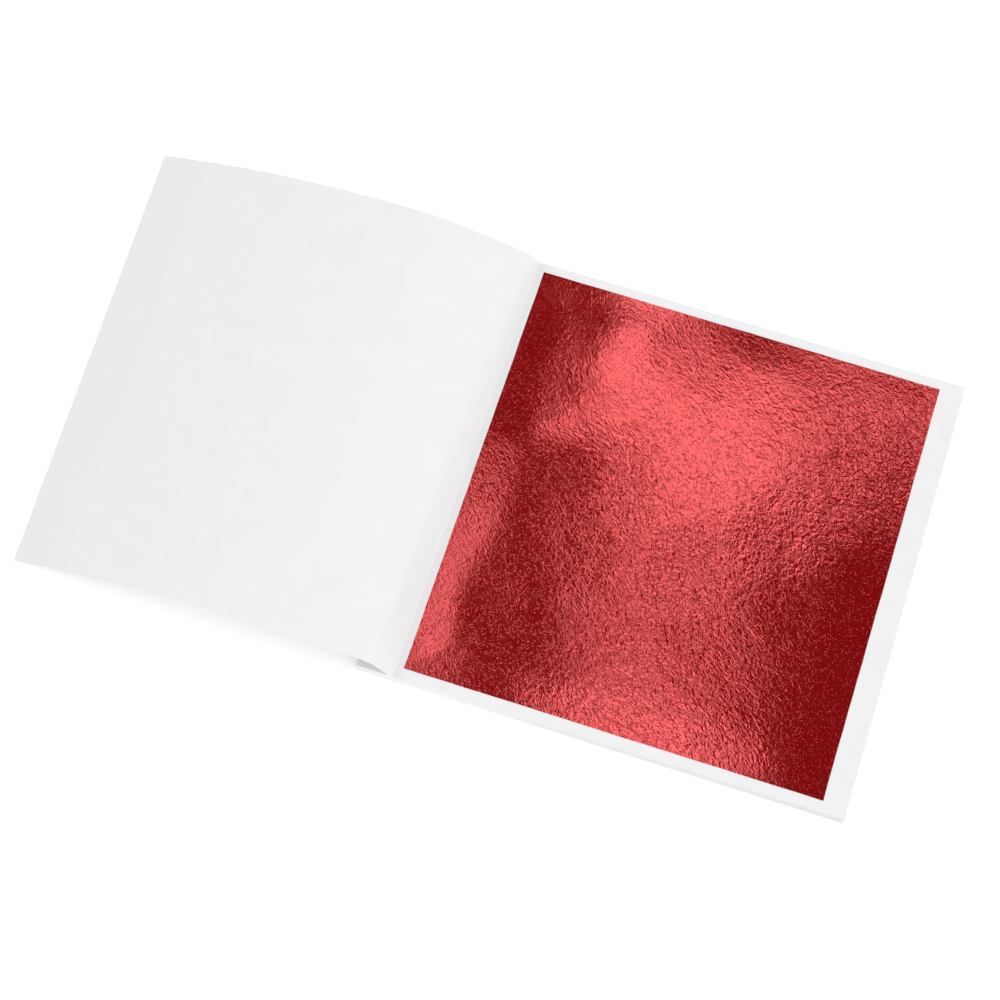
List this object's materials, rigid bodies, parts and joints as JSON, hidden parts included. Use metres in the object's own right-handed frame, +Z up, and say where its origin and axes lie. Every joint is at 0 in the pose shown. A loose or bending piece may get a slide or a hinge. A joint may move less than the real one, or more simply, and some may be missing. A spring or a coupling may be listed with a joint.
{
  "type": "leaf booklet",
  "caption": "Stapled booklet of loose red metallic leaves between white tissue pages, lying open with the cover and first page turned over and the first leaf bare.",
  "frame": {"origin": "centre of the back cover's underside, on the table", "axes": "+Z up, +X from the spine to the fore-edge, +Y along the spine to the head of the page"},
  "size_m": [0.163, 0.089, 0.0092],
  "materials": {
    "tissue_paper": "smooth matt white tissue paper with a faint cloudiness",
    "cover_paper": "plain matt white card",
    "metal_leaf": "bright red metallic leaf with a fine leathery crumple",
    "staple_wire": "flat bright steel wire"
  },
  "bodies": {
    "bound_block": {"back_cover": "cover_paper", "bound_margins": "tissue_paper", "staples": "staple_wire"},
    "front_fold": {"front_cover_fold": "cover_paper", "tissue_01_fold": "tissue_paper"},
    "front_inner": {"front_cover_inner_half": "cover_paper", "tissue_01_inner_half": "tissue_paper"},
    "front_outer": {"front_cover_outer_half": "cover_paper", "tissue_01_outer_half": "tissue_paper"},
    "page_02": {"tissue_02": "tissue_paper"},
    "page_03": {"tissue_03": "tissue_paper"},
    "page_04": {"tissue_04": "tissue_paper"},
    "page_05": {"tissue_05": "tissue_paper"},
    "page_06": {"tissue_06": "tissue_paper"},
    "page_07": {"tissue_07": "tissue_paper"},
    "page_08": {"tissue_08": "tissue_paper"},
    "page_09": {"tissue_09": "tissue_paper"},
    "page_10": {"tissue_10": "tissue_paper"},
    "page_11": {"tissue_11": "tissue_paper"},
    "page_12": {"tissue_12": "tissue_paper"},
    "page_13": {"tissue_13": "tissue_paper"},
    "page_14": {"tissue_14": "tissue_paper"},
    "page_15": {"tissue_15": "tissue_paper"},
    "page_16": {"tissue_16": "tissue_paper"},
    "page_17": {"tissue_17": "tissue_paper"},
    "page_18": {"tissue_18": "tissue_paper"},
    "page_19": {"tissue_19": "tissue_paper"},
    "page_20": {"tissue_20": "tissue_paper"},
    "page_21": {"tissue_21": "tissue_paper"},
    "page_22": {"tissue_22": "tissue_paper"},
    "page_23": {"tissue_23": "tissue_paper"},
    "page_24": {"tissue_24": "tissue_paper"},
    "page_25": {"tissue_25": "tissue_paper"},
    "page_26": {"tissue_26": "tissue_paper"},
    "leaf_01": {"leaf_01": "metal_leaf"},
    "leaf_02": {"leaf_02": "metal_leaf"},
    "leaf_03": {"leaf_03": "metal_leaf"},
    "leaf_04": {"leaf_04": "metal_leaf"},
    "leaf_05": {"leaf_05": "metal_leaf"},
    "leaf_06": {"leaf_06": "metal_leaf"},
    "leaf_07": {"leaf_07": "metal_leaf"},
    "leaf_08": {"leaf_08": "metal_leaf"},
    "leaf_09": {"leaf_09": "metal_leaf"},
    "leaf_10": {"leaf_10": "metal_leaf"},
    "leaf_11": {"leaf_11": "metal_leaf"},
    "leaf_12": {"leaf_12": "metal_leaf"},
    "leaf_13": {"leaf_13": "metal_leaf"},
    "leaf_14": {"leaf_14": "metal_leaf"},
    "leaf_15": {"leaf_15": "metal_leaf"},
    "leaf_16": {"leaf_16": "metal_leaf"},
    "leaf_17": {"leaf_17": "metal_leaf"},
    "leaf_18": {"leaf_18": "metal_leaf"},
    "leaf_19": {"leaf_19": "metal_leaf"},
    "leaf_20": {"leaf_20": "metal_leaf"},
    "leaf_21": {"leaf_21": "metal_leaf"},
    "leaf_22": {"leaf_22": "metal_leaf"},
    "leaf_23": {"leaf_23": "metal_leaf"},
    "leaf_24": {"leaf_24": "metal_leaf"},
    "leaf_25": {"leaf_25": "metal_leaf"}
  },
  "joints": [
    {"name": "front_fold_turn", "type": "hinge", "parent": "bound_block", "child": "front_fold", "pos_m": [-0.03955, 0, 0.00271], "axis": [0, -1, 0], "range_deg": [-113.11, 0]},
    {"name": "front_inner_turn", "type": "hinge", "parent": "front_fold", "child": "front_inner", "pos_m": [-0.04373, 0, 0.00769], "axis": [0, -1, 0], "range_deg": [-65.9, 0]},
    {"name": "front_outer_turn", "type": "hinge", "parent": "front_inner", "child": "front_outer", "pos_m": [-0.08054, 0, 0.00833], "axis": [0, -1, 0], "range_deg": [-13.66, 0]},
    {"name": "page_02_turn", "type": "hinge", "parent": "bound_block", "child": "page_02", "pos_m": [-0.03925, 0, 0.0026], "axis": [0, -1, 0], "range_deg": [0, 125]},
    {"name": "page_03_turn", "type": "hinge", "parent": "bound_block", "child": "page_03", "pos_m": [-0.0392, 0, 0.0025], "axis": [0, -1, 0], "range_deg": [0, 88]},
    {"name": "page_04_turn", "type": "hinge", "parent": "bound_block", "child": "page_04", "pos_m": [-0.03916, 0, 0.00242], "axis": [0, -1, 0], "range_deg": [0, 84.33]},
    {"name": "page_05_turn", "type": "hinge", "parent": "bound_block", "child": "page_05", "pos_m": [-0.03911, 0, 0.00232], "axis": [0, -1, 0], "range_deg": [0, 80.67]},
    {"name": "page_06_turn", "type": "hinge", "parent": "bound_block", "child": "page_06", "pos_m": [-0.03907, 0, 0.00224], "axis": [0, -1, 0], "range_deg": [0, 77]},
    {"name": "page_07_turn", "type": "hinge", "parent": "bound_block", "child": "page_07", "pos_m": [-0.03902, 0, 0.00215], "axis": [0, -1, 0], "range_deg": [0, 73.33]},
    {"name": "page_08_turn", "type": "hinge", "parent": "bound_block", "child": "page_08", "pos_m": [-0.03898, 0, 0.00205], "axis": [0, -1, 0], "range_deg": [0, 69.67]},
    {"name": "page_09_turn", "type": "hinge", "parent": "bound_block", "child": "page_09", "pos_m": [-0.03893, 0, 0.00197], "axis": [0, -1, 0], "range_deg": [0, 66]},
    {"name": "page_10_turn", "type": "hinge", "parent": "bound_block", "child": "page_10", "pos_m": [-0.03889, 0, 0.00187], "axis": [0, -1, 0], "range_deg": [0, 62.33]},
    {"name": "page_11_turn", "type": "hinge", "parent": "bound_block", "child": "page_11", "pos_m": [-0.03884, 0, 0.00178], "axis": [0, -1, 0], "range_deg": [0, 58.67]},
    {"name": "page_12_turn", "type": "hinge", "parent": "bound_block", "child": "page_12", "pos_m": [-0.0388, 0, 0.00169], "axis": [0, -1, 0], "range_deg": [0, 55]},
    {"name": "page_13_turn", "type": "hinge", "parent": "bound_block", "child": "page_13", "pos_m": [-0.03875, 0, 0.00161], "axis": [0, -1, 0], "range_deg": [0, 51.33]},
    {"name": "page_14_turn", "type": "hinge", "parent": "bound_block", "child": "page_14", "pos_m": [-0.03871, 0, 0.00152], "axis": [0, -1, 0], "range_deg": [0, 47.67]},
    {"name": "page_15_turn", "type": "hinge", "parent": "bound_block", "child": "page_15", "pos_m": [-0.03866, 0, 0.00143], "axis": [0, -1, 0], "range_deg": [0, 44]},
    {"name": "page_16_turn", "type": "hinge", "parent": "bound_block", "child": "page_16", "pos_m": [-0.03862, 0, 0.00134], "axis": [0, -1, 0], "range_deg": [0, 40.33]},
    {"name": "page_17_turn", "type": "hinge", "parent": "bound_block", "child": "page_17", "pos_m": [-0.03857, 0, 0.00125], "axis": [0, -1, 0], "range_deg": [0, 36.67]},
    {"name": "page_18_turn", "type": "hinge", "parent": "bound_block", "child": "page_18", "pos_m": [-0.03853, 0, 0.00115], "axis": [0, -1, 0], "range_deg": [0, 33]},
    {"name": "page_19_turn", "type": "hinge", "parent": "bound_block", "child": "page_19", "pos_m": [-0.03848, 0, 0.00106], "axis": [0, -1, 0], "range_deg": [0, 29.33]},
    {"name": "page_20_turn", "type": "hinge", "parent": "bound_block", "child": "page_20", "pos_m": [-0.03844, 0, 0.00097], "axis": [0, -1, 0], "range_deg": [0, 25.67]},
    {"name": "page_21_turn", "type": "hinge", "parent": "bound_block", "child": "page_21", "pos_m": [-0.03839, 0, 0.00089], "axis": [0, -1, 0], "range_deg": [0, 22]},
    {"name": "page_22_turn", "type": "hinge", "parent": "bound_block", "child": "page_22", "pos_m": [-0.03835, 0, 0.0008], "axis": [0, -1, 0], "range_deg": [0, 18.33]},
    {"name": "page_23_turn", "type": "hinge", "parent": "bound_block", "child": "page_23", "pos_m": [-0.0383, 0, 0.00071], "axis": [0, -1, 0], "range_deg": [0, 14.67]},
    {"name": "page_24_turn", "type": "hinge", "parent": "bound_block", "child": "page_24", "pos_m": [-0.03826, 0, 0.00061], "axis": [0, -1, 0], "range_deg": [0, 11]},
    {"name": "page_25_turn", "type": "hinge", "parent": "bound_block", "child": "page_25", "pos_m": [-0.03821, 0, 0.00052], "axis": [0, -1, 0], "range_deg": [0, 7.33]},
    {"name": "page_26_turn", "type": "hinge", "parent": "bound_block", "child": "page_26", "pos_m": [-0.03817, 0, 0.00044], "axis": [0, -1, 0], "range_deg": [0, 3.67]},
    {"name": "slide_leaf_01", "type": "slide", "parent": "page_02", "child": "leaf_01", "axis": [1, 0, 0], "range_m": [0, 0.0846]},
    {"name": "slide_leaf_02", "type": "slide", "parent": "page_03", "child": "leaf_02", "axis": [1, 0, 0], "range_m": [0, 0.0846]},
    {"name": "slide_leaf_03", "type": "slide", "parent": "page_04", "child": "leaf_03", "axis": [1, 0, 0], "range_m": [0, 0.0846]},
    {"name": "slide_leaf_04", "type": "slide", "parent": "page_05", "child": "leaf_04", "axis": [1, 0, 0], "range_m": [0, 0.0846]},
    {"name": "slide_leaf_05", "type": "slide", "parent": "page_06", "child": "leaf_05", "axis": [1, 0, 0], "range_m": [0, 0.0846]},
    {"name": "slide_leaf_06", "type": "slide", "parent": "page_07", "child": "leaf_06", "axis": [1, 0, 0], "range_m": [0, 0.0846]},
    {"name": "slide_leaf_07", "type": "slide", "parent": "page_08", "child": "leaf_07", "axis": [1, 0, 0], "range_m": [0, 0.0846]},
    {"name": "slide_leaf_08", "type": "slide", "parent": "page_09", "child": "leaf_08", "axis": [1, 0, 0], "range_m": [0, 0.0846]},
    {"name": "slide_leaf_09", "type": "slide", "parent": "page_10", "child": "leaf_09", "axis": [1, 0, 0], "range_m": [0, 0.0846]},
    {"name": "slide_leaf_10", "type": "slide", "parent": "page_11", "child": "leaf_10", "axis": [1, 0, 0], "range_m": [0, 0.0846]},
    {"name": "slide_leaf_11", "type": "slide", "parent": "page_12", "child": "leaf_11", "axis": [1, 0, 0], "range_m": [0, 0.0846]},
    {"name": "slide_leaf_12", "type": "slide", "parent": "page_13", "child": "leaf_12", "axis": [1, 0, 0], "range_m": [0, 0.0846]},
    {"name": "slide_leaf_13", "type": "slide", "parent": "page_14", "child": "leaf_13", "axis": [1, 0, 0], "range_m": [0, 0.0846]},
    {"name": "slide_leaf_14", "type": "slide", "parent": "page_15", "child": "leaf_14", "axis": [1, 0, 0], "range_m": [0, 0.0846]},
    {"name": "slide_leaf_15", "type": "slide", "parent": "page_16", "child": "leaf_15", "axis": [1, 0, 0], "range_m": [0, 0.0846]},
    {"name": "slide_leaf_16", "type": "slide", "parent": "page_17", "child": "leaf_16", "axis": [1, 0, 0], "range_m": [0, 0.0846]},
    {"name": "slide_leaf_17", "type": "slide", "parent": "page_18", "child": "leaf_17", "axis": [1, 0, 0], "range_m": [0, 0.0846]},
    {"name": "slide_leaf_18", "type": "slide", "parent": "page_19", "child": "leaf_18", "axis": [1, 0, 0], "range_m": [0, 0.0846]},
    {"name": "slide_leaf_19", "type": "slide", "parent": "page_20", "child": "leaf_19", "axis": [1, 0, 0], "range_m": [0, 0.0846]},
    {"name": "slide_leaf_20", "type": "slide", "parent": "page_21", "child": "leaf_20", "axis": [1, 0, 0], "range_m": [0, 0.0846]},
    {"name": "slide_leaf_21", "type": "slide", "parent": "page_22", "child": "leaf_21", "axis": [1, 0, 0], "range_m": [0, 0.0846]},
    {"name": "slide_leaf_22", "type": "slide", "parent": "page_23", "child": "leaf_22", "axis": [1, 0, 0], "range_m": [0, 0.0846]},
    {"name": "slide_leaf_23", "type": "slide", "parent": "page_24", "child": "leaf_23", "axis": [1, 0, 0], "range_m": [0, 0.0846]},
    {"name": "slide_leaf_24", "type": "slide", "parent": "page_25", "child": "leaf_24", "axis": [1, 0, 0], "range_m": [0, 0.0846]},
    {"name": "slide_leaf_25", "type": "slide", "parent": "page_26", "child": "leaf_25", "axis": [1, 0, 0], "range_m": [0, 0.0846]}
  ],
  "couplings": [
    {"joint": "front_inner_turn", "follows": "front_fold_turn", "ratio": 0.58264},
    {"joint": "front_outer_turn", "follows": "front_fold_turn", "ratio": 0.1208},
    {"joint": "page_03_turn", "follows": "page_02_turn", "ratio": 0.704},
    {"joint": "page_04_turn", "follows": "page_02_turn", "ratio": 0.67467},
    {"joint": "page_05_turn", "follows": "page_02_turn", "ratio": 0.64533},
    {"joint": "page_06_turn", "follows": "page_02_turn", "ratio": 0.616},
    {"joint": "page_07_turn", "follows": "page_02_turn", "ratio": 0.58667},
    {"joint": "page_08_turn", "follows": "page_02_turn", "ratio": 0.55733},
    {"joint": "page_09_turn", "follows": "page_02_turn", "ratio": 0.528},
    {"joint": "page_10_turn", "follows": "page_02_turn", "ratio": 0.49867},
    {"joint": "page_11_turn", "follows": "page_02_turn", "ratio": 0.46933},
    {"joint": "page_12_turn", "follows": "page_02_turn", "ratio": 0.44},
    {"joint": "page_13_turn", "follows": "page_02_turn", "ratio": 0.41067},
    {"joint": "page_14_turn", "follows": "page_02_turn", "ratio": 0.38133},
    {"joint": "page_15_turn", "follows": "page_02_turn", "ratio": 0.352},
    {"joint": "page_16_turn", "follows": "page_02_turn", "ratio": 0.32267},
    {"joint": "page_17_turn", "follows": "page_02_turn", "ratio": 0.29333},
    {"joint": "page_18_turn", "follows": "page_02_turn", "ratio": 0.264},
    {"joint": "page_19_turn", "follows": "page_02_turn", "ratio": 0.23467},
    {"joint": "page_20_turn", "follows": "page_02_turn", "ratio": 0.20533},
    {"joint": "page_21_turn", "follows": "page_02_turn", "ratio": 0.176},
    {"joint": "page_22_turn", "follows": "page_02_turn", "ratio": 0.14667},
    {"joint": "page_23_turn", "follows": "page_02_turn", "ratio": 0.11733},
    {"joint": "page_24_turn", "follows": "page_02_turn", "ratio": 0.088},
    {"joint": "page_25_turn", "follows": "page_02_turn", "ratio": 0.058666},
    {"joint": "page_26_turn", "follows": "page_02_turn", "ratio": 0.029333}
  ]
}
